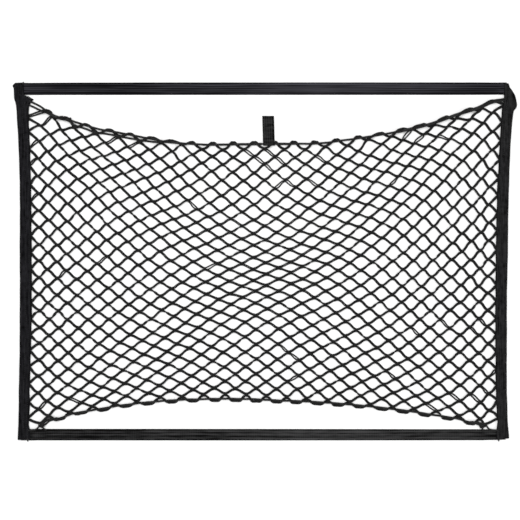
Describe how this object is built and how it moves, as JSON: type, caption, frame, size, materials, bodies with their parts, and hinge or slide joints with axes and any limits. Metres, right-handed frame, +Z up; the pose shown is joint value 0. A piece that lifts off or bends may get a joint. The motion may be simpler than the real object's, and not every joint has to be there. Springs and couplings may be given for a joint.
{
  "type": "cargo net",
  "caption": "Rectangular cargo net: webbing along the top and bottom, folded bindings down the sides, diamond mesh between them with corded hollow edges and a pull tab.",
  "frame": {"origin": "middle of the footprint, at the surface the net lies on", "axes": "+X along the webbings to the net's right, +Y towards the top webbing, +Z up from the surface"},
  "size_m": [0.9067, 0.6438, 0.007],
  "materials": {
    "webbing": "ribbed woven black webbing",
    "binding": "woven black binding tape",
    "net_yarn": "black braided yarn",
    "edge_cord": "black braided elastic cord"
  },
  "bodies": {
    "root": {"top_webbing": "webbing", "bottom_webbing": "webbing", "left_binding": "binding", "right_binding": "binding", "net_panel": "net_yarn", "top_edge_cord": "edge_cord", "bottom_edge_cord": "edge_cord", "pull_tab": "webbing"}
  },
  "joints": []
}
